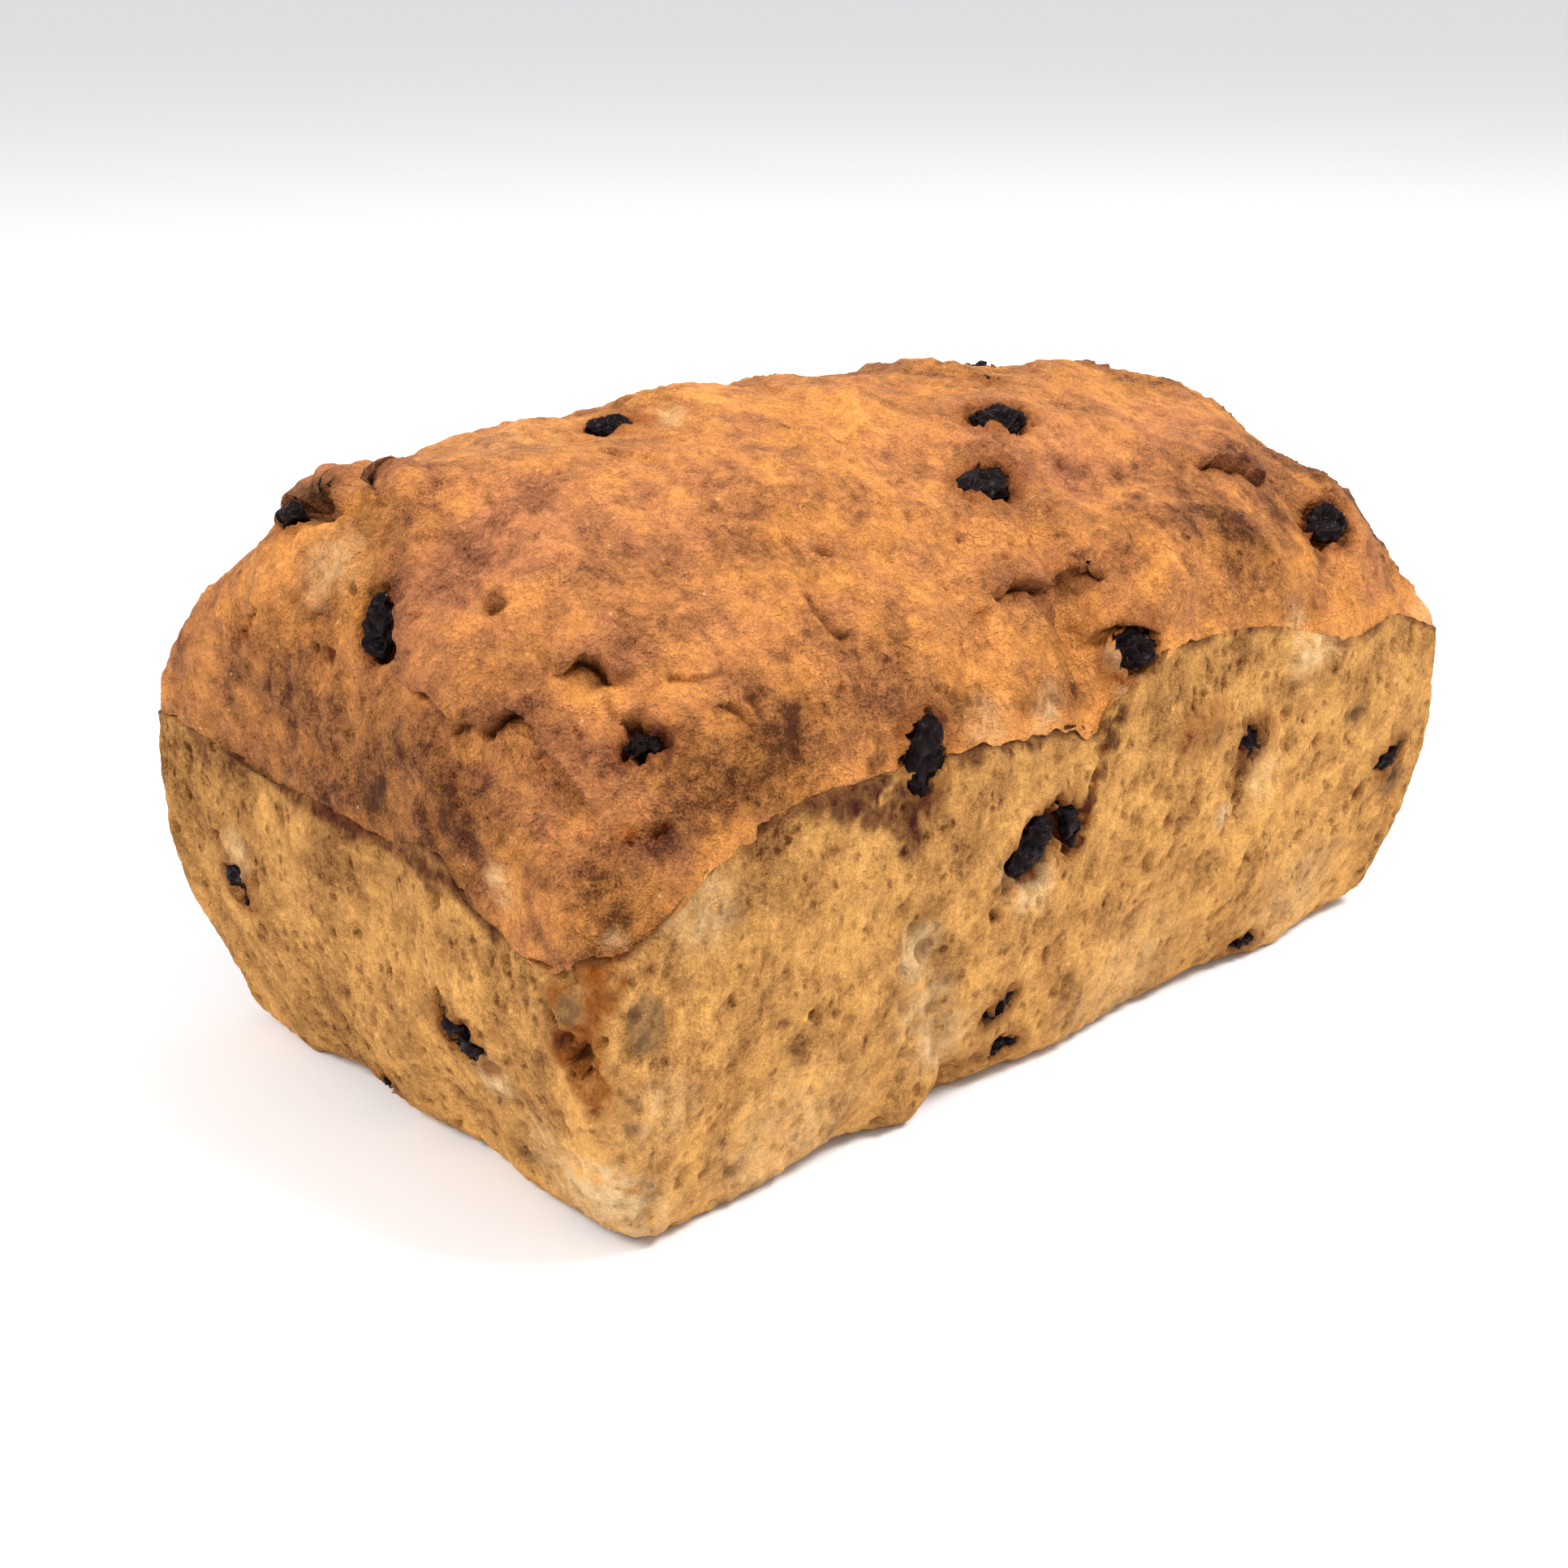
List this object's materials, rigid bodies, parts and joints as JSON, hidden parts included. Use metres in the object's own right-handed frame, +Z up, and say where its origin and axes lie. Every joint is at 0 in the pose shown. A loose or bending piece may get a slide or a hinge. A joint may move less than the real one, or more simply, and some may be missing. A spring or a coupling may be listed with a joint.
{
  "type": "raisin tin loaf",
  "caption": "Baked tin loaf, uncut, with a domed golden-brown crust, straight porous sides from the tin and dark raisins set in its surface.",
  "frame": {"origin": "middle of the flat base that the loaf rests on", "axes": "+X along the loaf towards the far end, +Y across it towards the back, +Z up; the long side with the stepped lip faces -Y"},
  "size_m": [0.1953, 0.1162, 0.1006],
  "materials": {
    "baked_bread": "baked bread: golden-brown matt crust on top, paler toasted crumb on the sides",
    "raisin": "wrinkled dried fruit skin, dark purple-brown to black, slightly glossy"
  },
  "bodies": {
    "root": {"loaf": "baked_bread", "raisin_in_blister": "raisin", "raisin_at_fold": "raisin", "raisin_left_crest": "raisin", "raisin_burnt": "raisin", "raisin_right_crest": "raisin", "raisin_flush": "raisin", "raisin_in_shoulder": "raisin", "raisin_far_crust": "raisin", "raisin_at_lip": "raisin", "raisin_small_crest": "raisin", "raisin_pair_left": "raisin", "raisin_pair_right": "raisin", "raisin_in_slit": "raisin", "raisin_under_skin": "raisin", "raisin_far_side": "raisin", "raisin_groove_upper": "raisin", "raisin_groove_lower": "raisin", "raisin_bottom_edge": "raisin", "raisin_end_rear": "raisin", "raisin_end_near": "raisin", "raisin_end_foot": "raisin", "raisin_rear_crust_1": "raisin", "raisin_rear_crust_2": "raisin", "raisin_rear_crust_3": "raisin", "raisin_back_1": "raisin", "raisin_back_2": "raisin", "raisin_back_3": "raisin", "raisin_far_end_1": "raisin", "raisin_far_end_2": "raisin"}
  },
  "joints": []
}
